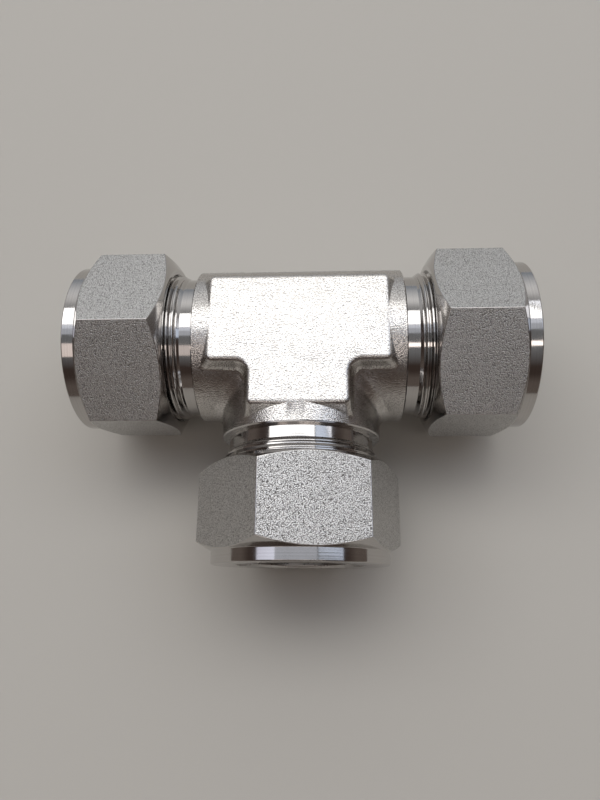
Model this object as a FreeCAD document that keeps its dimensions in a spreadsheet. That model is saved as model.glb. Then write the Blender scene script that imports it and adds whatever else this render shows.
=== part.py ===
"""A compression tube tee for 1 inch (25.4 mm) tube: a forged body with three alike ports.

Each port carries a hexagon nut, a front ferrule and a back ferrule. The nuts are finger tight, as supplied.
The run lies along X and the branch points to -Y. The origin is where the two axes cross.
Lengths along a port are measured outwards from that crossing, in millimetres.
"""
import FreeCAD, Part
import math
import os
import Sketcher

doc = FreeCAD.newDocument("tube_tee")


# Driving dimensions, all on one sheet

SHEET_ROWS = [
    ("reach", 49.4, "crossing to the outer end of a finger tight nut"),
    ("boss_diameter", 34.8, "round forged boss at each port"),
    ("boss_end", 22.65, "where the forging stops and the turned neck starts"),
    ("boss_edge", 0.3, "broken edge at the end of each boss"),
    ("crotch_radius", 2.6, "forged fillet in the corners between run and branch"),
    ("flats_across", 34.92, "wrench flats, 1 3/8 inch across"),
    ("run_pad_half_width", 9.8, "half the width of the flat pads on the run"),
    ("branch_pad_half_width", 10.5, "the same on the branch, which is a little wider"),
    ("pad_reach", 18.8, "crossing to the end of a flat pad"),
    ("pad_end_slope", 58.0, "slope of the pad's end, from level"),
    ("pad_draft", 7.0, "draft of the pad's sides"),
    ("pad_foot_radius", 2.0, "hollow fillet from the pad's side to the round boss"),
    ("pad_foot_level", 13.2, "level where the hollow ends of the pads run out"),
    ("pad_corner_radius", 1.5, "radius of the pads' corners, seen from above"),
    ("pad_edge_radius", 1.3, "radius on the edges of the pads"),
    ("neck_diameter", 31.6, "relief behind the thread"),
    ("neck_step", 1.3, "length of the slope from the neck up to the thread"),
    ("thread_diameter", 33.34, "outside of the thread, 1 5/16 inch, 20 to the inch"),
    ("thread_start", 26.6, "first turn of the thread"),
    ("body_end", 40.0, "end face of a port"),
    ("body_chamfer", 0.8, "chamfer on the thread's end"),
    ("flow_bore", 22.4, "passage through the body"),
    ("tube_stop", 17.8, "shoulder that the tube butts against"),
    ("socket_diameter", 25.6, "bore that guides the tube"),
    ("seat_angle", 20.0, "half angle of the seat cone"),
    ("seat_mouth_diameter", 29.2, "wide end of the seat cone"),
    ("hex_flats", 38.1, "nut, 1 1/2 inch across flats"),
    ("nut_length", 21.1, "nut, end to end"),
    ("nut_face_diameter", 36.7, "flat ring on the inner end of the nut"),
    ("collar_diameter", 37.6, "turned collar on the outer end of the nut"),
    ("collar_length", 2.7, "length of that collar"),
    ("collar_edge", 0.2, "broken outer edge of the collar"),
    ("corner_angle", 30.0, "chamfer on the hexagon's corners"),
    ("nut_bore", 33.44, "bore over the thread"),
    ("nut_mouth_diameter", 34.6, "countersink at the nut's mouth"),
    ("nut_bore_end", 41.2, "end of the bore over the thread"),
    ("chamber_diameter", 31.0, "chamber that holds the ferrules"),
    ("drive_angle", 45.0, "shoulder that pushes the back ferrule"),
    ("nut_tube_hole", 25.9, "hole for the tube in the nut's end"),
    ("tube_hole_chamfer", 0.6, "lead-in of that hole"),
    ("ferrule_bore", 25.5, "bore of both ferrules"),
    ("ferrule_gap", 0.06, "play between a ferrule and what it seats on"),
    ("nose_tip", 35.9, "tip of the front ferrule"),
    ("front_rim_start", 40.5, "start of the front ferrule's rim"),
    ("front_rim_end", 43.0, "back face of the front ferrule"),
    ("rim_diameter", 30.0, "outside of both ferrules"),
    ("cup_diameter", 28.2, "wide end of the cup in the front ferrule's back"),
    ("back_tip_diameter", 26.3, "tip of the back ferrule"),
    ("back_rim_start", 43.1, "front of the back ferrule's rim"),
    ("back_rim_end", 43.9, "end of that rim, where the slope starts"),
    ("back_face_diameter", 27.2, "narrow back face of the back ferrule"),
    ("left_nut_clock", 23.8, "turn of the left nut's corners, seen along its own axis"),
    ("right_nut_clock", 32.4, "the same for the right nut"),
    ("branch_nut_clock", 49.6, "the same for the branch nut"),
]

sheet = doc.addObject("Spreadsheet::Sheet", "Sizes")
for row, (alias, number, note) in enumerate(SHEET_ROWS, start=1):
    sheet.set(f"A{row}", str(number))
    sheet.setAlias(f"A{row}", alias)
    sheet.set(f"B{row}", note)
doc.recompute()


class Size:
    """A length or angle worked out from the sheet: its number, and the expression that binds to it."""

    def __init__(self, number, text):
        self.number = float(number)
        self.text = text

    def __add__(self, other):
        other = sized(other)
        return Size(self.number + other.number, f"({self.text} + {other.text})")

    def __sub__(self, other):
        other = sized(other)
        return Size(self.number - other.number, f"({self.text} - {other.text})")

    def __mul__(self, other):
        other = sized(other)
        return Size(self.number * other.number, f"({self.text} * {other.text})")

    def __truediv__(self, other):
        other = sized(other)
        return Size(self.number / other.number, f"({self.text} / {other.text})")

    def __neg__(self):
        return Size(-self.number, f"(0 - {self.text})")


def sized(value):
    """A plain number as a Size; a Size stays as it is."""
    return value if isinstance(value, Size) else Size(value, str(value))


def cell(alias):
    """A cell of the sheet."""
    return Size(sheet.get(alias), f"{sheet.Name}.{alias}")


def tangent(angle):
    return Size(math.tan(math.radians(angle.number)), f"tan({angle.text})")


def cosine(angle):
    return Size(math.cos(math.radians(angle.number)), f"cos({angle.text})")


# Sketches

ORIGIN = (-1, 1)
ACROSS_AXIS = -1
UP_AXIS = -2
START, END, CENTRE = 1, 2, 3


def new_body(label):
    body = doc.addObject("PartDesign::Body", label)
    body.Label = label
    return body


def datum(body, role):
    """One of the body's own origin planes or axes, by its role."""
    return next(item for item in body.Origin.OriginFeatures if item.Role == role)


def new_sketch(body, role, name):
    """A sketch on one of the body's origin planes."""
    sketch = body.newObject("Sketcher::SketchObject", name)
    sketch.AttachmentSupport = [(datum(body, role), "")]
    sketch.MapMode = "FlatFace"
    return sketch


def hold(sketch, constraint, value):
    """Adds a dimension and binds it to the sheet."""
    index = sketch.addConstraint(constraint)
    sketch.setExpression(f"Constraints[{index}]", value.text)


def fix(sketch, geometry, point, across, up):
    """Ties a sketch point to its two coordinates, each bound to the sheet."""
    for kind, axis, value in (("DistanceX", UP_AXIS, across), ("DistanceY", ACROSS_AXIS, up)):
        value = sized(value)
        if abs(value.number) < 1e-9:
            sketch.addConstraint(Sketcher.Constraint("PointOnObject", geometry, point, axis))
            continue
        ends = (*ORIGIN, geometry, point) if value.number > 0 else (geometry, point, *ORIGIN)
        far = value if value.number > 0 else -value
        hold(sketch, Sketcher.Constraint(kind, *ends, far.number), far)


def draw_outline(sketch, corners):
    """A closed outline of straight lines through the corners, given as (across, up)."""
    points = [FreeCAD.Vector(sized(x).number, sized(y).number, 0) for x, y in corners]
    lines = []
    for start, end in zip(points, points[1:] + points[:1]):
        lines.append(sketch.addGeometry(Part.LineSegment(start, end)))
    for line, following in zip(lines, lines[1:] + lines[:1]):
        sketch.addConstraint(Sketcher.Constraint("Coincident", line, END, following, START))
    for line, (across, up) in zip(lines, corners):
        fix(sketch, line, START, across, up)


def draw_circle(sketch, diameter):
    circle = sketch.addGeometry(Part.Circle(FreeCAD.Vector(), FreeCAD.Vector(0, 0, 1), diameter.number / 2))
    sketch.addConstraint(Sketcher.Constraint("Coincident", circle, CENTRE, *ORIGIN))
    hold(sketch, Sketcher.Constraint("Diameter", circle, diameter.number), diameter)
    return circle


def draw_hexagon(sketch, across_flats):
    """A regular hexagon with one corner on the sketch's own horizontal axis."""
    corner_circle = across_flats / cosine(sized(30))
    guide = draw_circle(sketch, corner_circle)
    sketch.setConstruction(guide, True)
    radius = corner_circle.number / 2
    turns = [math.radians(60 * k) for k in range(6)]
    points = [FreeCAD.Vector(radius * math.cos(a), radius * math.sin(a), 0) for a in turns]
    lines = [sketch.addGeometry(Part.LineSegment(points[k], points[(k + 1) % 6])) for k in range(6)]
    for k in range(6):
        sketch.addConstraint(Sketcher.Constraint("Coincident", lines[k], END, lines[(k + 1) % 6], START))
        sketch.addConstraint(Sketcher.Constraint("PointOnObject", lines[k], START, guide))
    for k in range(1, 6):
        sketch.addConstraint(Sketcher.Constraint("Equal", lines[0], lines[k]))
    sketch.addConstraint(Sketcher.Constraint("PointOnObject", lines[0], START, ACROSS_AXIS))


def draw_forged_section(sketch, half_width):
    """The round boss with a flat pad on top and below: drafted sides that run out in hollow fillets."""
    radius = cell("boss_diameter") / 2
    half_height = cell("flats_across") / 2
    foot = cell("pad_foot_radius")
    draft = math.radians(cell("pad_draft").number)

    # the foot's centre lies one foot radius off the drafted side and off the boss
    outward = FreeCAD.Vector(math.cos(draft), math.sin(draft), 0)
    upward = FreeCAD.Vector(-math.sin(draft), math.cos(draft), 0)
    corner = FreeCAD.Vector(half_width.number, half_height.number, 0)
    off_side = corner.dot(outward) + foot.number
    to_centre = radius.number + foot.number
    centre = outward * off_side + upward * math.sqrt(to_centre**2 - off_side**2)
    on_boss = centre * (radius.number / to_centre)
    on_side = centre - outward * foot.number

    def mirrored(point, side, level):
        return FreeCAD.Vector(point.x * side, point.y * level, 0)

    def arc(middle, from_point, to_point):
        circle = Part.Circle(middle, FreeCAD.Vector(0, 0, 1), (from_point - middle).Length)
        turns = [math.atan2(p.y - middle.y, p.x - middle.x) for p in (from_point, to_point)]
        return sketch.addGeometry(Part.ArcOfCircle(circle, *turns))

    flats = {}
    for level in (1, -1):
        ends = (mirrored(corner, 1, level), mirrored(corner, -1, level))
        flats[level] = sketch.addGeometry(Part.LineSegment(*ends))
        fix(sketch, flats[level], START, half_width, half_height * level)
        fix(sketch, flats[level], END, -half_width, half_height * level)

    bosses = {}
    for side in (1, -1):
        ends = (mirrored(on_boss, side, -side), mirrored(on_boss, side, side))
        bosses[side] = arc(FreeCAD.Vector(), *ends)
        sketch.addConstraint(Sketcher.Constraint("Coincident", bosses[side], CENTRE, *ORIGIN))
    hold(sketch, Sketcher.Constraint("Radius", bosses[1], radius.number), radius)
    sketch.addConstraint(Sketcher.Constraint("Equal", bosses[1], bosses[-1]))

    first_foot = None
    for side in (1, -1):
        for level in (1, -1):
            wall = sketch.addGeometry(
                Part.LineSegment(mirrored(corner, side, level), mirrored(on_side, side, level))
            )
            flat_end = START if side > 0 else END
            sketch.addConstraint(Sketcher.Constraint("Coincident", wall, START, flats[level], flat_end))
            lean = Size(math.degrees(draft), cell("pad_draft").text) - 90
            wall_turn = lean if level > 0 else -lean
            if side < 0:
                wall_turn = sized(180 * (-1 if level > 0 else 1)) - wall_turn
            turn_now = math.radians(wall_turn.number)
            hold(sketch, Sketcher.Constraint("Angle", wall, turn_now), wall_turn)

            ends = [mirrored(on_side, side, level), mirrored(on_boss, side, level)]
            side_end, boss_end = (START, END) if side == level else (END, START)
            foot_arc = arc(mirrored(centre, side, level), *(ends if side == level else ends[::-1]))
            sketch.addConstraint(Sketcher.Constraint("Tangent", foot_arc, side_end, wall, END))
            arc_end = END if side == level else START
            sketch.addConstraint(Sketcher.Constraint("Tangent", foot_arc, boss_end, bosses[side], arc_end))
            if first_foot is None:
                first_foot = foot_arc
                hold(sketch, Sketcher.Constraint("Radius", foot_arc, foot.number), foot)
            else:
                sketch.addConstraint(Sketcher.Constraint("Equal", first_foot, foot_arc))


# Features

def pad(body, sketch, name, length, both_ways=False):
    feature = body.newObject("PartDesign::Pad", name)
    feature.Profile = sketch
    feature.Midplane = both_ways
    feature.setExpression("Length", length.text)
    doc.recompute()
    return feature


def cut_across(body, sketch, name, length):
    """A Pocket that cuts the same length to both sides of its sketch."""
    before = body.Shape.Volume
    feature = body.newObject("PartDesign::Pocket", name)
    feature.Profile = sketch
    feature.Midplane = True
    feature.setExpression("Length", length.text)
    doc.recompute()
    if not body.Shape.Volume < before:
        raise RuntimeError(f"{name} cut nothing")
    return feature


def revolve(body, kind, sketch, name):
    """A Revolution or a Groove of a sketch all round the sketch's own horizontal axis."""
    before = body.Shape.Volume if body.Tip else 0.0
    feature = body.newObject(f"PartDesign::{kind}", name)
    feature.Profile = sketch
    feature.ReferenceAxis = (sketch, ["H_Axis"])
    feature.Angle = 360.0
    doc.recompute()
    if kind == "Groove" and not body.Shape.Volume < before:
        raise RuntimeError(f"{name} cut nothing")
    return feature


def round_edges(body, name, radius, wanted):
    """A Fillet on every edge of the body so far that wanted() picks."""
    base = body.Tip
    names = [f"Edge{n}" for n, edge in enumerate(base.Shape.Edges, start=1) if wanted(edge)]
    if not names:
        raise RuntimeError(f"{name} found no edge")
    feature = body.newObject("PartDesign::Fillet", name)
    feature.Base = (base, names)
    feature.setExpression("Radius", radius.text)
    doc.recompute()
    return feature


def along(edge, share):
    """The point that lies a share of the way along an edge."""
    return edge.valueAt(edge.getParameterByLength(edge.Length * share))


# The forged body

def draw_pad_end(sketch, side, level):
    """What is cut off one end of a pad, seen from its side: a slope that runs out in a hollow fillet.

    The side is 1 or -1 along the sketch, and the level is 1 above and -1 below.
    """
    top = cell("flats_across") / 2
    foot = cell("pad_foot_level")
    reach = cell("pad_reach")
    slope = cell("pad_end_slope")
    hollow = cell("pad_foot_radius")
    beyond = cell("boss_end") + 2
    clear = top + 1

    def spot(across, up):
        return FreeCAD.Vector(across.number * side, up.number * level, 0)

    def line(start, end):
        return sketch.addGeometry(Part.LineSegment(start, end))

    # the hollow touches both the slope and the level line that the slope runs down to
    lean = math.radians(slope.number)
    corner = reach + (top - foot) / tangent(slope)
    short = hollow * tangent(slope / 2)
    slope_end = spot(corner - short * math.cos(lean), foot + short * math.sin(lean))
    level_start = spot(corner + short, foot)
    centre = spot(corner + short, foot + hollow)
    circle = Part.Circle(centre, FreeCAD.Vector(0, 0, 1), hollow.number)
    turns = [math.atan2(p.y - centre.y, p.x - centre.x) for p in (slope_end, level_start)]
    arc_ends = (START, END)
    if side != level:
        turns.reverse()
        arc_ends = (END, START)

    wall = line(spot(reach, top), slope_end)
    arc = sketch.addGeometry(Part.ArcOfCircle(circle, *turns))
    floor = line(level_start, spot(beyond, foot))
    far = line(spot(beyond, foot), spot(beyond, clear))
    roof = line(spot(beyond, clear), spot(reach, clear))
    near = line(spot(reach, clear), spot(reach, top))
    sketch.addConstraint(Sketcher.Constraint("Tangent", wall, END, arc, arc_ends[0]))
    sketch.addConstraint(Sketcher.Constraint("Tangent", arc, arc_ends[1], floor, START))
    for side_line, following in ((floor, far), (far, roof), (roof, near), (near, wall)):
        sketch.addConstraint(Sketcher.Constraint("Coincident", side_line, END, following, START))
    sketch.addConstraint(Sketcher.Constraint("Horizontal", floor))
    hold(sketch, Sketcher.Constraint("Radius", arc, hollow.number), hollow)
    fix(sketch, wall, START, reach * side, top * level)
    fix(sketch, far, START, beyond * side, foot * level)
    fix(sketch, roof, START, beyond * side, clear * level)
    fix(sketch, near, START, reach * side, clear * level)
    wall_turn = slope * (-side * level)
    if side < 0:
        wall_turn = wall_turn + 180
    hold(sketch, Sketcher.Constraint("Angle", wall, math.radians(wall_turn.number)), wall_turn)


def make_tee_body():
    body = new_body("tee_body")
    boss_end = cell("boss_end")
    across = cell("boss_diameter") * 2
    reach = cell("pad_reach").number
    run_half = cell("run_pad_half_width").number
    branch_half = cell("branch_pad_half_width").number

    # the forged sections of run and branch, before the pads' ends are shaped
    section = new_sketch(body, "YZ_Plane", "RunSection")
    draw_forged_section(section, cell("run_pad_half_width"))
    pad(body, section, "RunForging", boss_end * 2, both_ways=True)
    section = new_sketch(body, "XZ_Plane", "BranchSection")
    draw_forged_section(section, cell("branch_pad_half_width"))
    pad(body, section, "BranchForging", boss_end)

    ends = new_sketch(body, "XZ_Plane", "RunPadEnds")
    for side in (1, -1):
        for level in (1, -1):
            draw_pad_end(ends, side, level)
    cut_across(body, ends, "RunPadSlopes", across)
    ends = new_sketch(body, "YZ_Plane", "BranchPadEnds")
    for level in (1, -1):
        draw_pad_end(ends, -1, level)
    cut_across(body, ends, "BranchPadSlopes", across)

    # the pads differ in width, so the valley between run and branch leaves the diagonal a little
    mitre_width = branch_half - run_half + 0.1

    def in_the_mitre(edge):
        spots = [along(edge, share) for share in (0.05, 0.5, 0.95)]
        return all(abs(abs(p.x) - abs(p.y)) < mitre_width and p.y < -1 for p in spots)

    round_edges(body, "CrotchFillets", cell("crotch_radius"), in_the_mitre)

    top = cell("flats_across").number / 2

    def pad_corner(edge):
        upper = max((along(edge, share) for share in (0, 1)), key=lambda p: abs(p.z))
        on_run = abs(abs(upper.x) - reach) < 0.01 and abs(abs(upper.y) - run_half) < 0.01
        on_branch = abs(upper.y + reach) < 0.01 and abs(abs(upper.x) - branch_half) < 0.01
        return (on_run or on_branch) and abs(along(edge, 0.5).z) < top - 0.2

    round_edges(body, "PadCorners", cell("pad_corner_radius"), pad_corner)

    def round_the_pad(edge):
        return all(abs(abs(along(edge, share).z) - top) < 0.001 for share in (0.05, 0.5, 0.95))

    round_edges(body, "PadEdges", cell("pad_edge_radius"), round_the_pad)

    # the slopes took the boss's upper and lower sides with them, and these give them back
    circle = new_sketch(body, "YZ_Plane", "RunBossCircle")
    draw_circle(circle, cell("boss_diameter"))
    pad(body, circle, "RunBosses", boss_end * 2, both_ways=True)
    circle = new_sketch(body, "XZ_Plane", "BranchBossCircle")
    draw_circle(circle, cell("boss_diameter"))
    pad(body, circle, "BranchBoss", boss_end)

    turned = new_sketch(body, "XZ_Plane", "NeckAndThread")
    neck = cell("neck_diameter") / 2
    thread = cell("thread_diameter") / 2
    body_end = cell("body_end")
    chamfer = cell("body_chamfer")
    draw_outline(turned, [
        (boss_end - 1, 0),
        (boss_end - 1, neck),
        (cell("thread_start") - cell("neck_step"), neck),
        (cell("thread_start"), thread),
        (body_end - chamfer, thread),
        (body_end, thread - chamfer),
        (body_end, 0),
    ])
    threaded = revolve(body, "Revolution", turned, "ThreadedEnd")

    broken = new_sketch(body, "XZ_Plane", "BossRim")
    boss = cell("boss_diameter") / 2
    edge = cell("boss_edge")
    draw_outline(broken, [
        (boss_end - edge, boss),
        (boss_end, boss - edge),
        (boss_end, boss + 1),
        (boss_end - edge, boss + 1),
    ])
    rim = revolve(body, "Groove", broken, "BrokenBossRim")

    bored = new_sketch(body, "XZ_Plane", "PassageAndSocket")
    socket = cell("socket_diameter") / 2
    mouth = cell("seat_mouth_diameter") / 2
    draw_outline(bored, [
        (0, 0),
        (0, cell("flow_bore") / 2),
        (cell("tube_stop"), cell("flow_bore") / 2),
        (cell("tube_stop"), socket),
        (body_end - (mouth - socket) / tangent(cell("seat_angle")), socket),
        (body_end, mouth),
        (body_end + 1, mouth),
        (body_end + 1, 0),
    ])
    passage = revolve(body, "Groove", bored, "TubeSocket")

    ports = body.newObject("PartDesign::PolarPattern", "ThreePorts")
    ports.Originals = [threaded, rim, passage]
    ports.Axis = (datum(body, "Z_Axis"), [""])
    ports.Reversed = True
    ports.Angle = 180.0
    ports.Occurrences = 3
    body.Tip = ports
    doc.recompute()
    return body


# The nuts and ferrules

def put_on_port(body, port_turn):
    """Turns a body that was made on the right port to where its own port is."""
    body.Placement = FreeCAD.Placement(FreeCAD.Vector(), FreeCAD.Rotation(FreeCAD.Vector(0, 0, 1), port_turn))


def make_nut(label, clock, port_turn):
    """A hexagon nut with a turned collar; inside, the bore over the thread and the ferrules' chamber."""
    body = new_body(label)
    outer = cell("reach")
    inner = outer - cell("nut_length")

    hexagon = new_sketch(body, "YZ_Plane", "Hexagon")
    hexagon.AttachmentOffset = FreeCAD.Placement(
        FreeCAD.Vector(0, 0, inner.number), FreeCAD.Rotation(FreeCAD.Vector(0, 0, 1), clock.number)
    )
    hexagon.setExpression("AttachmentOffset.Base.z", inner.text)
    hexagon.setExpression("AttachmentOffset.Rotation.Angle", clock.text)
    draw_hexagon(hexagon, cell("hex_flats"))
    pad(body, hexagon, "HexagonBar", cell("nut_length"))

    # both ends are turned: a chamfer on the corners, and on the outer end the collar
    slope = tangent(cell("corner_angle"))
    clear = cell("hex_flats") * 0.65
    face = cell("nut_face_diameter") / 2
    collar = cell("collar_diameter") / 2
    edge = cell("collar_edge")
    shoulder = outer - cell("collar_length")
    turned = new_sketch(body, "XZ_Plane", "TurnedEnds")
    draw_outline(turned, [
        (inner, face),
        (inner + (clear - face) * slope, clear),
        (inner - 1, clear),
        (inner - 1, face),
    ])
    draw_outline(turned, [
        (shoulder, collar),
        (outer - edge, collar),
        (outer, collar - edge),
        (outer + 1, collar - edge),
        (outer + 1, clear),
        (shoulder - (clear - collar) * slope, clear),
    ])
    revolve(body, "Groove", turned, "CornerChamfers")

    bore = cell("nut_bore") / 2
    mouth = cell("nut_mouth_diameter") / 2
    bore_end = cell("nut_bore_end")
    chamber = cell("chamber_diameter") / 2
    hole = cell("nut_tube_hole") / 2
    lead = cell("tube_hole_chamfer")
    play = cell("ferrule_gap") / cosine(cell("drive_angle"))
    drive = tangent(cell("drive_angle"))
    pushed = cell("back_rim_end") + play
    drive_start = pushed - (chamber - cell("rim_diameter") / 2) / drive
    drive_end = drive_start + (chamber - hole) / drive
    inside = new_sketch(body, "XZ_Plane", "BoreAndChamber")
    draw_outline(inside, [
        (inner - 1, 0),
        (inner - 1, mouth),
        (inner, mouth),
        (inner + (mouth - bore), bore),
        (bore_end, bore),
        (bore_end, chamber),
        (drive_start, chamber),
        (drive_end, hole),
        (outer - lead, hole),
        (outer, hole + lead),
        (outer + 1, hole + lead),
        (outer + 1, 0),
    ])
    revolve(body, "Groove", inside, "FerruleChamber")
    put_on_port(body, port_turn)
    return body


def make_front_ferrule(label, port_turn):
    """The front ferrule: a long cone that wedges into the seat, and a cup for the back ferrule."""
    body = new_body(label)
    bore = cell("ferrule_bore") / 2
    rim = cell("rim_diameter") / 2
    cup = cell("cup_diameter") / 2
    seat_slope = tangent(cell("seat_angle"))
    nose_end = cell("body_end")
    nose = cell("seat_mouth_diameter") / 2 - cell("ferrule_gap") / cosine(cell("seat_angle"))
    section = new_sketch(body, "XZ_Plane", "FrontFerruleSection")
    draw_outline(section, [
        (cell("nose_tip"), bore),
        (cell("nose_tip"), nose - (nose_end - cell("nose_tip")) * seat_slope),
        (nose_end, nose),
        (cell("front_rim_start"), rim),
        (cell("front_rim_end"), rim),
        (cell("front_rim_end"), cup),
        (cell("front_rim_end") - (cup - bore) / tangent(cell("drive_angle")), bore),
    ])
    revolve(body, "Revolution", section, "FrontFerruleRing")
    put_on_port(body, port_turn)
    return body


def make_back_ferrule(label, port_turn):
    """The back ferrule: a short nose in the front ferrule's cup, and a slope that the nut pushes on."""
    body = new_body(label)
    bore = cell("ferrule_bore") / 2
    rim = cell("rim_diameter") / 2
    tip = cell("back_tip_diameter") / 2
    face = cell("back_face_diameter") / 2
    drive = tangent(cell("drive_angle"))
    play = cell("ferrule_gap") / cosine(cell("drive_angle"))
    nose = cell("cup_diameter") / 2 + (cell("back_rim_start") - cell("front_rim_end")) * drive - play
    section = new_sketch(body, "XZ_Plane", "BackFerruleSection")
    draw_outline(section, [
        (cell("back_rim_start") - (nose - tip) / drive, bore),
        (cell("back_rim_start") - (nose - tip) / drive, tip),
        (cell("back_rim_start"), nose),
        (cell("back_rim_start"), rim),
        (cell("back_rim_end"), rim),
        (cell("back_rim_end") + (rim - face) / drive, face),
        (cell("back_rim_end") + (rim - face) / drive, bore),
    ])
    revolve(body, "Revolution", section, "BackFerruleRing")
    put_on_port(body, port_turn)
    return body


PORT_TURNS = {"left": 180.0, "right": 0.0, "branch": -90.0}

pieces = [make_tee_body()]
for port, port_turn in PORT_TURNS.items():
    pieces.append(make_nut(f"nut_{port}", cell(f"{port}_nut_clock"), port_turn))
    pieces.append(make_front_ferrule(f"front_ferrule_{port}", port_turn))
    pieces.append(make_back_ferrule(f"back_ferrule_{port}", port_turn))
doc.recompute()

for item in doc.Objects:
    if "Invalid" in item.State or "Error" in item.State:
        raise RuntimeError(f"{item.Label} failed: {item.State}")
for piece in pieces:
    if piece.Shape.isNull() or not piece.Shape.isValid() or len(piece.Shape.Solids) != 1:
        raise RuntimeError(f"{piece.Label} is not one sound solid")

os.makedirs("parts", exist_ok=True)
for piece in pieces:
    piece.Shape.exportStep(f"parts/{piece.Label}.step")
    box = piece.Shape.BoundBox
    print(
        f"{piece.Label}: {piece.Shape.Volume:.1f} mm3, x {box.XMin:.2f} to {box.XMax:.2f}, "
        f"y {box.YMin:.2f} to {box.YMax:.2f}, z {box.ZMin:.2f} to {box.ZMax:.2f}"
    )
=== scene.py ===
# %% [markdown]
# # A compression tube tee in stainless steel
# The tee is a forged body with three ports. On each port a hexagon nut holds two ferrules.
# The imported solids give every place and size, and this script gives them their finish.
# First the solids are loaded. They stay where they are, and new pieces are fitted around them.

import math

import bpy
from mathutils import Matrix, Vector


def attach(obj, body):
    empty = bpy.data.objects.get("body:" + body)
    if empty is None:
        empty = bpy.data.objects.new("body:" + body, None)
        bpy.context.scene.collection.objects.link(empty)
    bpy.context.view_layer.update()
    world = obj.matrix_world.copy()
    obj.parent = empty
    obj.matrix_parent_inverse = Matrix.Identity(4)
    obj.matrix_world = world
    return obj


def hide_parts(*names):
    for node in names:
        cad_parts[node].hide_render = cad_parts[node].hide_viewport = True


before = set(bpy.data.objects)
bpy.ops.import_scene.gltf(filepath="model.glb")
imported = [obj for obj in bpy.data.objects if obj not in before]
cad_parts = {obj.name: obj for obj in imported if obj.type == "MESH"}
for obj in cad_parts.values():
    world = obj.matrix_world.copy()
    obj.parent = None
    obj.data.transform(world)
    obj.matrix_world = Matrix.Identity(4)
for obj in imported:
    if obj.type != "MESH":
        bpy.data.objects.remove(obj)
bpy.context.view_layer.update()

# %% [markdown]
# ## Working by hand, in code
# Blender works in metres and a fitting is drawn in millimetres, so one factor turns one into the other.
# Every operator acts on what is selected, so a step starts by clearing the selection.
# These helpers do the few things that are needed again and again:
# pick one object, open it in edit mode, apply a modifier, and merge points that lie together.

# %% Selecting and applying
MM = 0.001
TOGETHER = 0.002


def pick(piece):
    """Selects only this object and makes it active."""
    bpy.ops.object.select_all(action="DESELECT")
    piece.select_set(True)
    bpy.context.view_layer.objects.active = piece


def edit_all(piece):
    """Opens a piece in edit mode with everything selected."""
    pick(piece)
    bpy.ops.object.mode_set(mode="EDIT")
    bpy.ops.mesh.select_mode(type="VERT")
    bpy.ops.mesh.select_all(action="SELECT")


def close_edit():
    """Goes back from edit mode to the whole object."""
    bpy.ops.object.mode_set(mode="OBJECT")


def apply_modifier(piece, kind, **settings):
    """Adds a modifier, sets it up and applies it."""
    pick(piece)
    modifier = piece.modifiers.new(kind.title(), kind)
    for name, value in settings.items():
        setattr(modifier, name, value)
    bpy.ops.object.modifier_apply(modifier=modifier.name)


def merge_doubles(piece, apart=TOGETHER):
    """Merges points that lie nearer to each other than this, in millimetres."""
    edit_all(piece)
    bpy.ops.mesh.remove_doubles(threshold=apart * MM)
    close_edit()


# %% [markdown]
# ## Turned shapes
# Most of a tube fitting comes off a lathe, and Blender's spin tool is its lathe.
# A profile is drawn as a chain of points beside the X axis, then spun once round the axis.
# The profile starts as a plane that is merged to one point, and the point is extruded along the chain.
# A full turn has 96 steps, so many that its facets don't show.

# %% Profile and spin
STEPS = 96


def draw_profile(name, points, closed=False):
    """A chain of edges in the XZ plane through the (along, radius) points, in millimetres."""
    bpy.ops.object.select_all(action="DESELECT")
    bpy.ops.mesh.primitive_plane_add(size=MM, location=(0, 0, 0))
    profile = bpy.context.object
    profile.name = profile.data.name = name
    edit_all(profile)
    bpy.ops.mesh.merge(type="CENTER")
    places = [Vector((along, 0, radius)) * MM for along, radius in points]
    bpy.ops.transform.translate(value=places[0])
    for before, after in zip(places, places[1:]):
        bpy.ops.mesh.extrude_region_move(TRANSFORM_OT_translate={"value": after - before})
    if closed:
        bpy.ops.mesh.select_all(action="SELECT")
        bpy.ops.mesh.edge_face_add()
        bpy.ops.mesh.delete(type="ONLY_FACE")
    close_edit()
    return profile


def spin_profile(piece):
    """Spins the whole profile once round the X axis and closes the seam."""
    edit_all(piece)
    bpy.ops.mesh.spin(steps=STEPS, angle=2 * math.pi, center=(0, 0, 0), axis=(1, 0, 0))
    close_edit()
    merge_doubles(piece)


def face_outwards(piece):
    """Turns every face of a closed shell outwards."""
    edit_all(piece)
    bpy.ops.mesh.normals_make_consistent(inside=False)
    close_edit()


# %% [markdown]
# ## Threads
# The thread is 1 5/16 inch with 20 turns to the inch, and right-hand.
# Its flanks stand 60 degrees apart, so each of them leans by 30.
# It is drawn 0.5413 pitches deep with a crest a quarter of a pitch wide, which leaves a flat
# of an eighth of a pitch at the root. The solids have a plain cylinder here, so this is new form.

# %% Sizes of the thread
PITCH = 25.4 / 20
FLANK = math.tan(math.radians(30))
THREAD_RADIUS = 16.67
THREAD_DEPTH = 0.5413 * PITCH
THREAD_ROOT = THREAD_RADIUS - THREAD_DEPTH
CREST_FLAT = PITCH / 4
SPARE = 0.05
print(f"thread pitch {PITCH:.3f} mm, depth {THREAD_DEPTH:.3f} mm")

# %% [markdown]
# The thread is cut as in the workshop, by a tool that has the thread's own form: a threaded rod.
# One tooth is drawn, and the Screw modifier carries it round and forward by one pitch a turn.
# Neighbouring turns meet edge to edge, so merging them gives one skin, and a plane closes each end.
# The rod is turned by half a step, so that its edges lie between those of the blank.
# What a turned blank has in common with the rod is a male thread. A bore less the rod is a female one.
# The rod stands past the blank's own skin by a small spare, so that no two skins lie in the same place.

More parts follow.
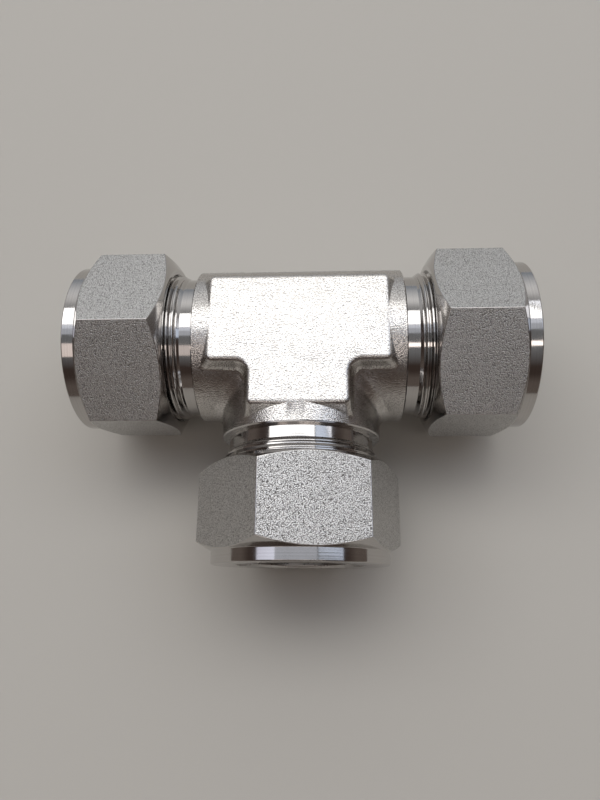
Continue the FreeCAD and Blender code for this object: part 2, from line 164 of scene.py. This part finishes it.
# %% Threaded rod
def cut_off(piece, place, keep):
    """Cuts the piece at a plane through place and keeps the side that keep points to."""
    edit_all(piece)
    bpy.ops.mesh.bisect(plane_co=Vector(place) * MM, plane_no=keep, clear_inner=True, clear_outer=False)
    close_edit()


def make_rod(name, outer, inner, crest_flat, first, last):
    """A solid rod with a thread, between two places along X."""
    flank = (outer - inner) * FLANK
    half_flat = crest_flat / 2
    turns = math.ceil((last - first) / PITCH) + 2
    start = (math.floor(first / PITCH) - 1) * PITCH
    rod = draw_profile(name, [
        (start - PITCH / 2, inner),
        (start - half_flat - flank, inner),
        (start - half_flat, outer),
        (start + half_flat, outer),
        (start + half_flat + flank, inner),
        (start + PITCH / 2, inner),
    ])
    apply_modifier(
        rod, "SCREW", axis="X", angle=2 * math.pi, screw_offset=PITCH * MM, iterations=turns,
        steps=STEPS, render_steps=STEPS, use_merge_vertices=True, merge_threshold=TOGETHER * MM,
    )
    merge_doubles(rod)
    rod.data.transform(Matrix.Rotation(math.pi / STEPS, 4, "X"))
    cut_off(rod, (first, 0, 0), (1, 0, 0))
    cut_off(rod, (last, 0, 0), (-1, 0, 0))
    edit_all(rod)
    bpy.ops.mesh.fill_holes(sides=0)
    close_edit()
    face_outwards(rod)
    return rod


def make_bar(name, sides, radius, first, last, clock=0.0):
    """A plain bar along X, between two places; clock is its first corner's angle from Y, in degrees."""
    bpy.ops.object.select_all(action="DESELECT")
    bpy.ops.mesh.primitive_cylinder_add(
        vertices=sides, radius=radius * MM, depth=(last - first) * MM, location=(0, 0, 0)
    )
    bar = bpy.context.object
    bar.name = bar.data.name = name
    corner = max(bar.data.vertices, key=lambda v: v.co.y).co
    turn = math.radians(clock) - math.atan2(corner.y, corner.x)
    along_x = Matrix(((0, 0, 1), (1, 0, 0), (0, 1, 0))).to_4x4()
    middle = (first + last) / 2 * MM
    bar.data.transform(Matrix.Translation((middle, 0, 0)) @ along_x @ Matrix.Rotation(turn, 4, "Z"))
    return bar


def combine(piece, tool, operation):
    """Applies a Boolean with the tool, then throws the tool away."""
    apply_modifier(piece, "BOOLEAN", operation=operation, object=tool, solver="EXACT")
    bpy.data.objects.remove(tool)


# %% [markdown]
# ## Camera
# The camera stands where the photograph's camera stood, worked out from the nuts' corners.
# It is close above the tee with a short lens, so the nearer surfaces spread out strongly.

# %% Camera
CAMERA_PLACE = Vector((6.0, -54.9, 133.4)) * MM
CAMERA_TURN = [math.radians(turn) for turn in (17.485, 2.587, 0.426)]
LENS_MM = 27.64

bpy.ops.object.camera_add(location=CAMERA_PLACE, rotation=CAMERA_TURN)
camera = bpy.context.object
camera.data.lens = LENS_MM
camera.data.sensor_width = 36.0
camera.data.clip_start = 0.005
bpy.context.scene.camera = camera
print(f"the camera is {CAMERA_PLACE.length / MM:.0f} mm from the middle of the tee")

# %% [markdown]
# ## Materials
# All of the fitting is one alloy, 316 stainless steel, and only the way each surface was made differs.
# Its colour is a slightly warm grey, it is fully metallic, and its IOR stays as Blender has it.
# What changes is the roughness and the relief: blasted, peened, or turned on a lathe.
# Hex colours are as seen on a screen, so one function turns them into the linear values that shaders use.
# A Mix node for colours takes its factor in socket 0 and the colours in 6 and 7, and gives output 2.

# %% Colour and node helpers
def linear(hex_colour, alpha=1.0):
    """An sRGB hex colour as linear values."""
    channels = [int(hex_colour[i:i + 2], 16) / 255 for i in (1, 3, 5)]
    return [c / 12.92 if c <= 0.04045 else ((c + 0.055) / 1.055) ** 2.4 for c in channels] + [alpha]


def add_node(tree, kind, inputs=None, **settings):
    """Adds a node, sets it up, and fills each named input with a value or links a socket to it."""
    added = tree.nodes.new(kind)
    for name, value in settings.items():
        setattr(added, name, value)
    for name, value in (inputs or {}).items():
        if isinstance(value, bpy.types.NodeSocket):
            tree.links.new(value, added.inputs[name])
        else:
            added.inputs[name].default_value = value
    return added


def new_steel(name, roughness):
    """A metal with its shader and the object's own coordinates, ready for relief."""
    material = bpy.data.materials.new(name)
    material.use_nodes = True
    tree = material.node_tree
    shader = tree.nodes["Principled BSDF"]
    shader.inputs["Metallic"].default_value = 1.0
    shader.inputs["Roughness"].default_value = roughness
    place = add_node(tree, "ShaderNodeTexCoord").outputs["Object"]
    return material, tree, shader, place


def per_mm(size_mm):
    """The scale of a texture whose features are this many millimetres across."""
    return 1 / (size_mm * MM)


# %% [markdown]
# ### Grained skins
# Shot and grit leave a metal skin of small round dimples, a few tenths of a millimetre across.
# Every dimple mirrors the room once more in small, so the skin glitters in light and dark specks,
# most of all where a reflection changes from bright to dark.
# Bump from a height would do for shallow dimples, but these are steep and hardly a pixel wide.
# So they are the cells of a Voronoi texture, and each cell tips the normal itself:
# away from the cell's middle, and the more so the nearer the rim is.
# A fine noise makes them uneven, and a slow one gives the unevenness that the die or the drawing left.
# Their rims are also painted darker than their middles. This is painted shade, standing for the shade inside
# each dimple.

# %% Dimples
def dimples_over(tree, place, dimple_mm, slope):
    """The normal, tipped by this slope at a dimple's edge, and the mask for the painted shade, from 0 in the
    middle to 1 at the edge.
    """
    cells = add_node(tree, "ShaderNodeTexVoronoi", {
        "Vector": place, "Scale": per_mm(dimple_mm),
    }, feature="F1")
    off_middle = add_node(tree, "ShaderNodeVectorMath", {
        0: place, 1: cells.outputs["Position"],
    }, operation="SUBTRACT").outputs[0]
    in_the_world = add_node(tree, "ShaderNodeVectorTransform", {
        "Vector": off_middle,
    }, vector_type="VECTOR", convert_from="OBJECT", convert_to="WORLD").outputs[0]
    normal = add_node(tree, "ShaderNodeNewGeometry").outputs["Normal"]
    gain = 2 * slope * per_mm(dimple_mm)
    leaning = add_node(tree, "ShaderNodeVectorMath", {
        0: in_the_world, 1: (gain, gain, gain), 2: normal,
    }, operation="MULTIPLY_ADD").outputs[0]
    tipped = add_node(tree, "ShaderNodeVectorMath", {0: leaning}, operation="NORMALIZE").outputs[0]
    rim_shade_mask = add_node(tree, "ShaderNodeMapRange", {
        "Value": cells.outputs["Distance"], "From Min": 0.25, "From Max": 0.75,
    }).outputs["Result"]
    return tipped, rim_shade_mask


# %% [markdown]
# The fine noise is 0.08 of a dimple's width high. The slow one also makes the gloss uneven:
# most of a noise's values lie between 0.3 and 0.7, so that range is spread over the roughness.

# %% Grained steel
FINE_DEPTH = 0.08
NOISE_LOW = 0.3
NOISE_HIGH = 0.7
ROUGHNESS_SWING = 0.04


def grained_steel(name, dimple_mm, slope, roughness, uneven_mm, uneven_depth, rim_shade, light):
    """Dimples over a slow unevenness, with painted shade: their rims are painted darker and their middles
    have the light colour.
    """
    material, tree, shader, place = new_steel(name, roughness)
    dimples, rim_shade_mask = dimples_over(tree, place, dimple_mm, slope)
    fine, slow = [add_node(tree, "ShaderNodeTexNoise", {
        "Vector": place, "Scale": per_mm(size_mm), "Detail": 2.0,
    }).outputs["Fac"] for size_mm in (dimple_mm, uneven_mm)]
    fine_bump = add_node(tree, "ShaderNodeBump", {
        "Height": fine, "Distance": FINE_DEPTH * dimple_mm * MM, "Normal": dimples,
    }).outputs["Normal"]
    slow_bump = add_node(tree, "ShaderNodeBump", {
        "Height": slow, "Distance": uneven_depth * MM, "Normal": fine_bump,
    }).outputs["Normal"]
    gloss = add_node(tree, "ShaderNodeMapRange", {
        "Value": slow, "From Min": NOISE_LOW, "From Max": NOISE_HIGH,
        "To Min": roughness - ROUGHNESS_SWING, "To Max": roughness + ROUGHNESS_SWING,
    }).outputs["Result"]
    # Painted shade: the colour goes from the light one in a dimple's middle to the darker rim shade at its
    # rim.
    colour = add_node(tree, "ShaderNodeMix", {
        0: rim_shade_mask, 6: linear(light), 7: linear(rim_shade),
    }, data_type="RGBA").outputs[2]
    tree.links.new(slow_bump, shader.inputs["Normal"])
    tree.links.new(gloss, shader.inputs["Roughness"])
    tree.links.new(colour, shader.inputs["Base Color"])
    return material


# %% [markdown]
# ### Forging and bar
# The body was forged hot and then blasted: a bright skin with a fine grain, and the die's slow unevenness.
# The nuts are cut from cold drawn hexagon bar that was peened before it was turned, so their flats
# are duller than the body, and their dimples are steeper.

# %% Forging and bar
def forged_steel():
    """A bright skin, which shows the lamps as soft glows."""
    # Painted shade: the darker rim colour stands for the shade inside each dimple.
    return grained_steel(
        "316 stainless, forged and blasted", dimple_mm=0.27, slope=0.145, roughness=0.22,
        uneven_mm=6.0, uneven_depth=0.25, rim_shade="#ADA9A5", light="#DAD7D3",
    )


def pebbled_steel():
    """A dull skin with a steep fine grain, which gathers light from the whole room."""
    # Painted shade: the darker rim colour stands for the shade inside each dimple.
    return grained_steel(
        "316 stainless, peened hexagon bar", dimple_mm=0.23, slope=0.40, roughness=0.34,
        uneven_mm=5.0, uneven_depth=0.02, rim_shade="#949290", light="#E2E1DF",
    )


# %% [markdown]
# ### Turned surfaces
# Necks, threads, chamfers, collars and bores come straight off the tool, and are nearly mirrors.
# The tool leaves fine rings round the port's axis. Their height follows one number that changes
# along any turned surface: the way along the axis less a share of the radius.
# The rings are drawn 0.2 to 0.3 mm wide, several times coarser than the real feed, so that they show.
# A slow wear makes the gloss uneven.

# %% Turned steel
RADIUS_SHARE = 0.61
WEAR_MM = 3.0
GLOSSIEST = 0.7
DULLEST = 1.5


def turned_steel(axis, name, roughness, ring_mm, depth_mm):
    """A skin turned about X or about Y, with rings of this width and depth."""
    material, tree, shader, place = new_steel(f"316 stainless, {name} about {axis}", roughness)
    parts = add_node(tree, "ShaderNodeSeparateXYZ", {"Vector": place}).outputs
    side = parts["Y"] if axis == "X" else parts["X"]
    side_squared = add_node(tree, "ShaderNodeMath", {0: side, 1: side}, operation="MULTIPLY").outputs[0]
    radius_squared = add_node(tree, "ShaderNodeMath", {
        0: parts["Z"], 1: parts["Z"], 2: side_squared,
    }, operation="MULTIPLY_ADD").outputs[0]
    radius = add_node(tree, "ShaderNodeMath", {0: radius_squared}, operation="SQRT").outputs[0]
    along = add_node(tree, "ShaderNodeMath", {0: parts[axis]}, operation="ABSOLUTE").outputs[0]
    feed = add_node(tree, "ShaderNodeMath", {
        0: radius, 1: -RADIUS_SHARE, 2: along,
    }, operation="MULTIPLY_ADD").outputs[0]
    rings = add_node(tree, "ShaderNodeTexNoise", {
        "W": feed, "Scale": per_mm(ring_mm), "Detail": 2.0,
    }, noise_dimensions="1D").outputs["Fac"]
    bump = add_node(tree, "ShaderNodeBump", {"Height": rings, "Distance": depth_mm * MM, "Strength": 1.0})
    wear = add_node(tree, "ShaderNodeTexNoise", {
        "Vector": place, "Scale": per_mm(WEAR_MM), "Detail": 4.0,
    }).outputs["Fac"]
    gloss = add_node(tree, "ShaderNodeMapRange", {
        "Value": wear, "From Min": NOISE_LOW, "From Max": NOISE_HIGH,
        "To Min": roughness * GLOSSIEST, "To Max": roughness * DULLEST,
    }).outputs["Result"]
    colour = add_node(tree, "ShaderNodeMix", {
        0: rings, 6: linear("#B4B1AF"), 7: linear("#C4C1BE"),
    }, data_type="RGBA").outputs[2]
    tree.links.new(bump.outputs["Normal"], shader.inputs["Normal"])
    tree.links.new(gloss, shader.inputs["Roughness"])
    tree.links.new(colour, shader.inputs["Base Color"])
    return material


# %% [markdown]
# The forging and the bar need one steel each. A turned steel knows its axis, so there is one for the run
# and one for the branch, bright outside and duller in the bores, where the tool is less stiff.

# %% Make the steels
FORGED = forged_steel()
PEBBLED = pebbled_steel()
TURNED = {
    axis: turned_steel(axis, "turned bright", roughness=0.09, ring_mm=0.30, depth_mm=0.0025)
    for axis in "XY"
}
BORED = {
    axis: turned_steel(axis, "bored", roughness=0.26, ring_mm=0.22, depth_mm=0.006)
    for axis in "XY"
}
print("materials:", [m.name for m in bpy.data.materials])

# %% [markdown]
# ## The threaded ends
# Outside the forging, each port is turned: neck, thread, end face, seat cone and tube socket.
# The sizes are those of the solids. Lengths count outwards along the port, from where the axes cross.

# %% Sizes of a threaded end
BOSS_END = 22.65
BOSS_EDGE = 0.3
NECK_RADIUS = 15.8
NECK_STEP = 25.3
THREAD_START = 26.6
BODY_END = 40.0
BODY_CHAMFER = 0.8
SOCKET_RADIUS = 12.8
SEAT_START = 35.05
SEAT_MOUTH = 14.6
print(f"a port ends {BODY_END:.1f} mm out, and its socket is {2 * SOCKET_RADIUS:.1f} mm wide")

# %% [markdown]
# The turned blank is spun from one closed profile, and the rod then gives it its thread.
# The neck is thinner than the thread's root, so the rod leaves it whole, and the grooves run out on its
# slope. The blank starts a little inside the forging, where both are metal, so that they can be joined.
# It is a hair larger than the solid there, inside and out, so that its skin and the solid's lie apart.

# %% One threaded end
SEAM = BOSS_END - 0.04
LAP = 0.5
HAIR = 0.02


def make_threaded_end():
    """Neck, thread and socket of the right port, as one closed piece."""
    start = SEAM - LAP
    end = draw_profile("threaded_end", [
        (start, NECK_RADIUS + HAIR),
        (NECK_STEP, NECK_RADIUS + HAIR),
        (THREAD_START, THREAD_RADIUS),
        (BODY_END - BODY_CHAMFER, THREAD_RADIUS),
        (BODY_END, THREAD_RADIUS - BODY_CHAMFER),
        (BODY_END, SEAT_MOUTH),
        (SEAT_START, SOCKET_RADIUS + HAIR),
        (start, SOCKET_RADIUS + HAIR),
    ], closed=True)
    spin_profile(end)
    face_outwards(end)
    crest = CREST_FLAT - 2 * SPARE * FLANK
    die = make_rod("die", THREAD_RADIUS + SPARE, THREAD_ROOT, crest, start - 1, BODY_END + 1)
    combine(end, die, "INTERSECT")
    return end


threaded_end = make_threaded_end()
print("threaded end faces:", len(threaded_end.data.polygons))

# %% [markdown]
# ## The forged body
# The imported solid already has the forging's pads, hollows and fillets, so a copy of it is the start.
# The copy's loose triangles are merged, and each port is parted off a hair inside its boss's end face.
# Then a threaded end is set on each boss, turned to its port, and a Union makes one closed skin of all.
# A port is known by its angle about Z, counted from X, and by the axis that it lies along.

# %% A copy to work on
PORTS = {"left": 180.0, "right": 0.0, "branch": -90.0}
PORT_AXIS = {"left": "X", "right": "X", "branch": "Y"}


def merged_copy(node, name):
    """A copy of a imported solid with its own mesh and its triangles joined."""
    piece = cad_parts[node].copy()
    piece.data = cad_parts[node].data.copy()
    piece.name = piece.data.name = name
    for key in list(piece.keys()):
        del piece[key]
    piece.parent = None
    bpy.context.scene.collection.objects.link(piece)
    piece.data.materials.clear()
    pick(piece)
    bpy.ops.mesh.customdata_custom_splitnormals_clear()
    merge_doubles(piece, apart=0.001)
    return piece


def turn_to_port(piece, port):
    """Turns a piece made on the right port to its own port, in its mesh."""
    piece.data.transform(Matrix.Rotation(math.radians(PORTS[port]), 4, "Z"))


# %% [markdown]
# One mesh can hold several finishes, because every face has the number of its material.
# Where the face lies tells how it was made, so a rule works the number out from its middle.

# %% Finishes of the body
PARTING_RADIUS = THREAD_RADIUS + 2
CLOSE = 0.01


def give_materials(piece, materials, rule):
    """Gives the piece its materials, and each face the one whose number the rule returns."""
    piece.data.materials.clear()
    for material in materials:
        piece.data.materials.append(material)
    for face in piece.data.polygons:
        face.material_index = rule(face)


def body_finish(face):
    """Blasted on the forging, turned from each boss's end outwards, bored in the sockets and passages."""
    spot = face.center / MM
    ports = [(abs(spot.x), math.hypot(spot.y, spot.z)), (-spot.y, math.hypot(spot.x, spot.z))]
    for number, (along, across) in enumerate(ports):
        if along > BOSS_END - BOSS_EDGE - CLOSE and across < PARTING_RADIUS:
            inside = across < SEAT_MOUTH and along < BODY_END - CLOSE
            return number + (3 if inside else 1)
    for number, (along, across) in enumerate(ports):
        if across < SOCKET_RADIUS + SPARE:
            return number + 3
    return 0


# %% [markdown]
# Where a neck crosses the boss's end face, a few new points lie almost together, so they are merged.
# Edges flatter than 28 degrees are shaded smooth, and sharper ones stay crisp.

# %% Make the body
SMOOTH_ANGLE = math.radians(28)


def make_body():
    """The forging with its three threaded ends, as one closed skin."""
    body = merged_copy("tee_body", "forged_body")
    for port in PORTS:
        parting = make_bar("parting", STEPS, PARTING_RADIUS, SEAM, BODY_END + 1)
        turn_to_port(parting, port)
        combine(body, parting, "DIFFERENCE")
        end = threaded_end.copy()
        end.data = threaded_end.data.copy()
        bpy.context.scene.collection.objects.link(end)
        turn_to_port(end, port)
        combine(body, end, "UNION")
    merge_doubles(body, apart=0.0005)
    give_materials(body, [FORGED, TURNED["X"], TURNED["Y"], BORED["X"], BORED["Y"]], body_finish)
    pick(body)
    bpy.ops.object.shade_smooth_by_angle(angle=SMOOTH_ANGLE)
    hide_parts("tee_body")
    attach(body, "tee_body")
    return body


body = make_body()
bpy.data.objects.remove(threaded_end)
print("body faces:", len(body.data.polygons))

# %% [markdown]
# ## The nuts
# A nut is a slice of hexagon bar with both ends turned. The lathe shape alone is easy to spin,
# and the bar is a six sided cylinder, so the nut is what both have in common: an Intersect boolean.
# That cuts the curved chamfer lines on the flats exactly as the tool does.
# A small bevel breaks the edges, which gives the thin bright lines that real edges have.
# Last, the bore is tapped. The ridges of its thread lie in the grooves of the body's, and they stay there
# as the nut turns and moves out by one pitch a turn. They are a little thinner than the grooves and end
# a little short of their bottoms, so that the two threads never touch.
# The nuts are all alike, but each stopped at an angle of its own when it was screwed on.
# NUT_CLOCK is the angle of one corner of the hexagon about the port, and the photograph shows it.

# %% Sizes of a nut
HEX_FLATS = 38.1
HEX_CORNER = HEX_FLATS / 2 / math.cos(math.radians(30))
NUT_INNER = 28.3
NUT_OUTER = 49.4
NUT_FACE = 18.35
COLLAR_RADIUS = 18.8
COLLAR_LENGTH = 2.7
COLLAR_EDGE = 0.2
NUT_MOUTH = 17.3
NUT_BORE_END = 41.2
NUT_GROOVE = THREAD_RADIUS + 0.11
NUT_RIDGE = THREAD_ROOT + 0.05
RIDGE_FLAT = PITCH / 8
RELIEF = 0.6
CHAMBER_RADIUS = 15.5
DRIVE_START = 43.485
TUBE_HOLE = 12.95
HOLE_LEAD = 0.6
BROKEN_EDGE = 0.12
NUT_CLOCK = {"left": 23.8, "right": 32.4, "branch": 49.6}
print(f"the nut is {NUT_OUTER - NUT_INNER:.1f} mm long and {2 * HEX_CORNER:.2f} mm over its corners")

# %% Nut blank
def nut_profile():
    """The lathe shape of a nut: (along, radius) round its whole section, hexagon left uncut."""
    clear = HEX_CORNER + 1
    shoulder = NUT_OUTER - COLLAR_LENGTH
    relief = NUT_GROOVE + SPARE
    return [
        (NUT_INNER, NUT_MOUTH),
        (NUT_INNER, NUT_FACE),
        (NUT_INNER + (clear - NUT_FACE) * FLANK, clear),
        (shoulder - (clear - COLLAR_RADIUS) * FLANK, clear),
        (shoulder, COLLAR_RADIUS),
        (NUT_OUTER - COLLAR_EDGE, COLLAR_RADIUS),
        (NUT_OUTER, COLLAR_RADIUS - COLLAR_EDGE),
        (NUT_OUTER, TUBE_HOLE + HOLE_LEAD),
        (NUT_OUTER - HOLE_LEAD, TUBE_HOLE),
        (DRIVE_START + (CHAMBER_RADIUS - TUBE_HOLE), TUBE_HOLE),
        (DRIVE_START, CHAMBER_RADIUS),
        (NUT_BORE_END, CHAMBER_RADIUS),
        (NUT_BORE_END, relief),
        (NUT_BORE_END - RELIEF, relief),
        (NUT_BORE_END - RELIEF - (relief - NUT_RIDGE), NUT_RIDGE),
        (NUT_INNER + (NUT_MOUTH - NUT_RIDGE), NUT_RIDGE),
    ]


def make_nut_blank(port):
    """The turned shape and the hexagon bar in one, with no thread yet."""
    blank = draw_profile(f"{port}_nut", nut_profile(), closed=True)
    spin_profile(blank)
    face_outwards(blank)
    bar = make_bar("hexagon", 6, HEX_CORNER, NUT_INNER - 1, NUT_OUTER + 1, NUT_CLOCK[port])
    combine(blank, bar, "INTERSECT")
    return blank


# %% [markdown]
# The flats are told from the turned faces by where they point: straight out, at one of six angles.
# The middle of a flat is 30 degrees from a corner, and 60 degrees from the next flat's.
# The broken edges point elsewhere, so they count as turned metal and catch the light.

# %% Flats and thread
END_FACE = 0.1


def radius_of(point):
    """Distance from the X axis, along which each nut is made."""
    return math.hypot(point.y, point.z)


def is_flat(face, clock):
    """Whether a face lies in one of the hexagon's flats."""
    turn = math.degrees(math.atan2(face.normal.z, face.normal.y)) - clock - 30
    off = abs((turn + 30) % 60 - 30)
    return abs(face.normal.x) < 0.01 and off < 0.5 and radius_of(face.center / MM) > COLLAR_RADIUS + SPARE


def tap_nut(nut):
    """Cuts the thread in the bore; the tap stops inside the relief at the thread's end."""
    inner = NUT_RIDGE - SPARE
    width = PITCH - RIDGE_FLAT - 2 * (NUT_GROOVE - NUT_RIDGE) * FLANK
    tap = make_rod("tap", NUT_GROOVE, inner, width, NUT_INNER - 1, NUT_BORE_END - RELIEF / 2)
    combine(nut, tap, "DIFFERENCE")


# %% Make the nuts
EDGE_ANGLE = math.radians(24)


def make_nut(port):
    """A whole nut on its port: blank, broken edges, thread and finishes."""
    nut = make_nut_blank(port)
    axis = PORT_AXIS[port]
    clock = NUT_CLOCK[port]
    apply_modifier(
        nut, "BEVEL", limit_method="ANGLE", angle_limit=EDGE_ANGLE, width=BROKEN_EDGE * MM,
        segments=2, use_clamp_overlap=True, material=-1,
    )
    tap_nut(nut)

    def finish(face):
        if is_flat(face, clock):
            return 0
        across = radius_of(face.center / MM)
        in_the_nut = face.center.x / MM < NUT_OUTER - END_FACE
        return 2 if across < TUBE_HOLE + HOLE_LEAD or across < NUT_MOUTH and in_the_nut else 1

    give_materials(nut, [PEBBLED, TURNED[axis], BORED[axis]], finish)
    pick(nut)
    bpy.ops.object.shade_smooth_by_angle(angle=SMOOTH_ANGLE)
    apply_modifier(nut, "WEIGHTED_NORMAL", keep_sharp=True)
    turn_to_port(nut, port)
    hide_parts(f"nut_{port}")
    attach(nut, f"nut_{port}")
    return nut


nuts = {port: make_nut(port) for port in PORTS}
for port, nut in nuts.items():
    print(port, "nut faces:", len(nut.data.polygons))

# %% [markdown]
# ## The ferrules
# The ferrules are small turned rings inside the nuts. They show only through the tube holes,
# and their solids have the true section, so they stay and get a fine turned finish.

# %% Ferrules
for port in PORTS:
    for kind in ("front", "back"):
        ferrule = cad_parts[f"{kind}_ferrule_{port}"]
        ferrule.data.materials.clear()
        ferrule.data.materials.append(TURNED[PORT_AXIS[port]])
print("ferrules finished:", 2 * len(PORTS))

# %% [markdown]
# ## Floor and light
# The tee rests on the lowest corner of each nut, so the floor is the plane through those three.
# A plane that tips can bring another corner lower, so the search is repeated with the tipped plane.
# The floor is plain and pale, and large enough to fill the view.

# %% Floor
TIPPINGS = 4
FLOOR_SIZE = 1.6
FLOOR_HEX = "#C0BCB4"


def lowest_points(up):
    """The vertex of each nut that lies lowest against this direction."""
    nut_points = [[v.co.copy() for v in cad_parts[f"nut_{port}"].data.vertices] for port in PORTS]
    return [min(points, key=up.dot) for points in nut_points]


foot_normal = Vector((0, 0, 1))
for tipping in range(TIPPINGS):
    left_foot, right_foot, branch_foot = lowest_points(foot_normal)
    foot_normal = (right_foot - left_foot).cross(left_foot - branch_foot).normalized()
above_floor = min((v.co - left_foot).dot(foot_normal) for nut in nuts.values() for v in nut.data.vertices)
print(f"the lowest edge of the nuts is {above_floor / MM:.3f} mm above the floor")
bpy.ops.object.select_all(action="DESELECT")
bpy.ops.mesh.primitive_plane_add(size=FLOOR_SIZE, location=(0, 0, 0))
floor = bpy.context.object
floor.name = "floor"
floor.data.transform(foot_normal.to_track_quat("Z", "Y").to_matrix().to_4x4())
floor.data.transform(Matrix.Translation(left_foot))
print("floor normal:", [round(value, 4) for value in foot_normal])

floor_material = bpy.data.materials.new("plain pale floor")
floor_material.use_nodes = True
floor_shader = floor_material.node_tree.nodes["Principled BSDF"]
floor_shader.inputs["Base Color"].default_value = linear(FLOOR_HEX)
floor_shader.inputs["Roughness"].default_value = 0.7
floor.data.materials.append(floor_material)

# %% [markdown]
# ### Lamps
# The bands on the collars and necks mirror the room, and they tell where its light is:
# a wide window behind and above, two panes to the right, the ceiling that they light,
# and warm lamps in front.
# Each lamp is a level panel overhead. A ray that leaves the metal in the direction (x, y, z) meets the level
# of the lamps at x/z and y/z times their height, so a panel is given as the range of those two ratios.
# Its brightness is what a mirror would show, where 1 is white.

# %% Lamps
LAMP_HEIGHT = 2000.0


def add_panel(name, x_range, y_range, brightness, colour="#FFFFFF"):
    """A level lamp that fills a range of x/z and of y/z as seen from the tee."""
    width, depth = (LAMP_HEIGHT * (high - low) * MM for low, high in (x_range, y_range))
    middle = [sum(pair) / 2 * LAMP_HEIGHT * MM for pair in (x_range, y_range)]
    bpy.ops.object.light_add(type="AREA", location=(*middle, LAMP_HEIGHT * MM))
    lamp = bpy.context.object
    lamp.name = name
    lamp.data.shape = "RECTANGLE"
    lamp.data.size = width
    lamp.data.size_y = depth
    lamp.data.energy = brightness * math.pi * width * depth
    lamp.data.color = linear(colour)[:3]
    return lamp


add_panel("window", (-1.10, 0.42), (0.24, 0.75), 2.8)
add_panel("right pane", (0.45, 1.20), (0.36, 0.80), 2.0, "#F2F6FF")
add_panel("lower pane", (0.45, 1.50), (0.02, 0.34), 1.2, "#D4E2F8")
add_panel("bright ceiling", (-1.30, -0.55), (-0.06, 0.24), 1.2, "#E2E6F8")
add_panel("ceiling", (-0.55, 0.42), (0.12, 0.235), 0.9, "#E6ECFA")
add_panel("dim ceiling", (-0.55, 0.42), (-0.02, 0.12), 0.5, "#E6ECFA")
add_panel("warm lamp", (-0.02, 0.60), (-0.42, -0.30), 2.7, "#FFF3EC")
add_panel("warm ceiling", (-0.36, -0.02), (-0.66, -0.30), 0.65, "#FFEDE4")
add_panel("left warm lamp", (-0.66, -0.36), (-0.62, -0.24), 0.95, "#FFEDE4")
print("lamps:", len(bpy.data.lights))

# %% [markdown]
# ### The room around
# What isn't lamp is the room's walls. They are bright and cool behind the tee and get brighter upwards,
# dark and warm in front of it, where the camera stands, and the ceiling overhead is a plain grey.
# The colour follows where a ray points: its Z is its height and its Y is how far back it goes.
# The walls come first, bright and dark, then the way from the dark one to the bright, then the ceiling.

# %% Room
ROOM_STRENGTH = 0.95

world = bpy.data.worlds.new("room")
bpy.context.scene.world = world
world.use_nodes = True
sky = world.node_tree
way = add_node(sky, "ShaderNodeSeparateXYZ", {
    "Vector": add_node(sky, "ShaderNodeTexCoord").outputs["Generated"],
}).outputs


def blend_along(part, start, end, first, second):
    """Goes from one colour to another as this part of the direction goes from start to end."""
    share = add_node(sky, "ShaderNodeMapRange", {
        "Value": way[part], "From Min": start, "From Max": end,
    }).outputs["Result"]
    return add_node(sky, "ShaderNodeMix", {0: share, 6: first, 7: second}, data_type="RGBA").outputs[2]


wall = blend_along("Z", 0.0, 0.5, linear("#A2A8B0"), linear("#FFFFFF"))
dark_wall = blend_along("Z", 0.25, 0.45, linear("#6A605A"), linear("#463B36"))
around = blend_along("Y", 0.25, 0.85, dark_wall, wall)
room = blend_along("Z", 0.6, 0.85, around, linear("#818284"))
sky.links.new(room, sky.nodes["Background"].inputs["Color"])
sky.nodes["Background"].inputs["Strength"].default_value = ROOM_STRENGTH

bpy.context.scene.view_settings.view_transform = "Standard"
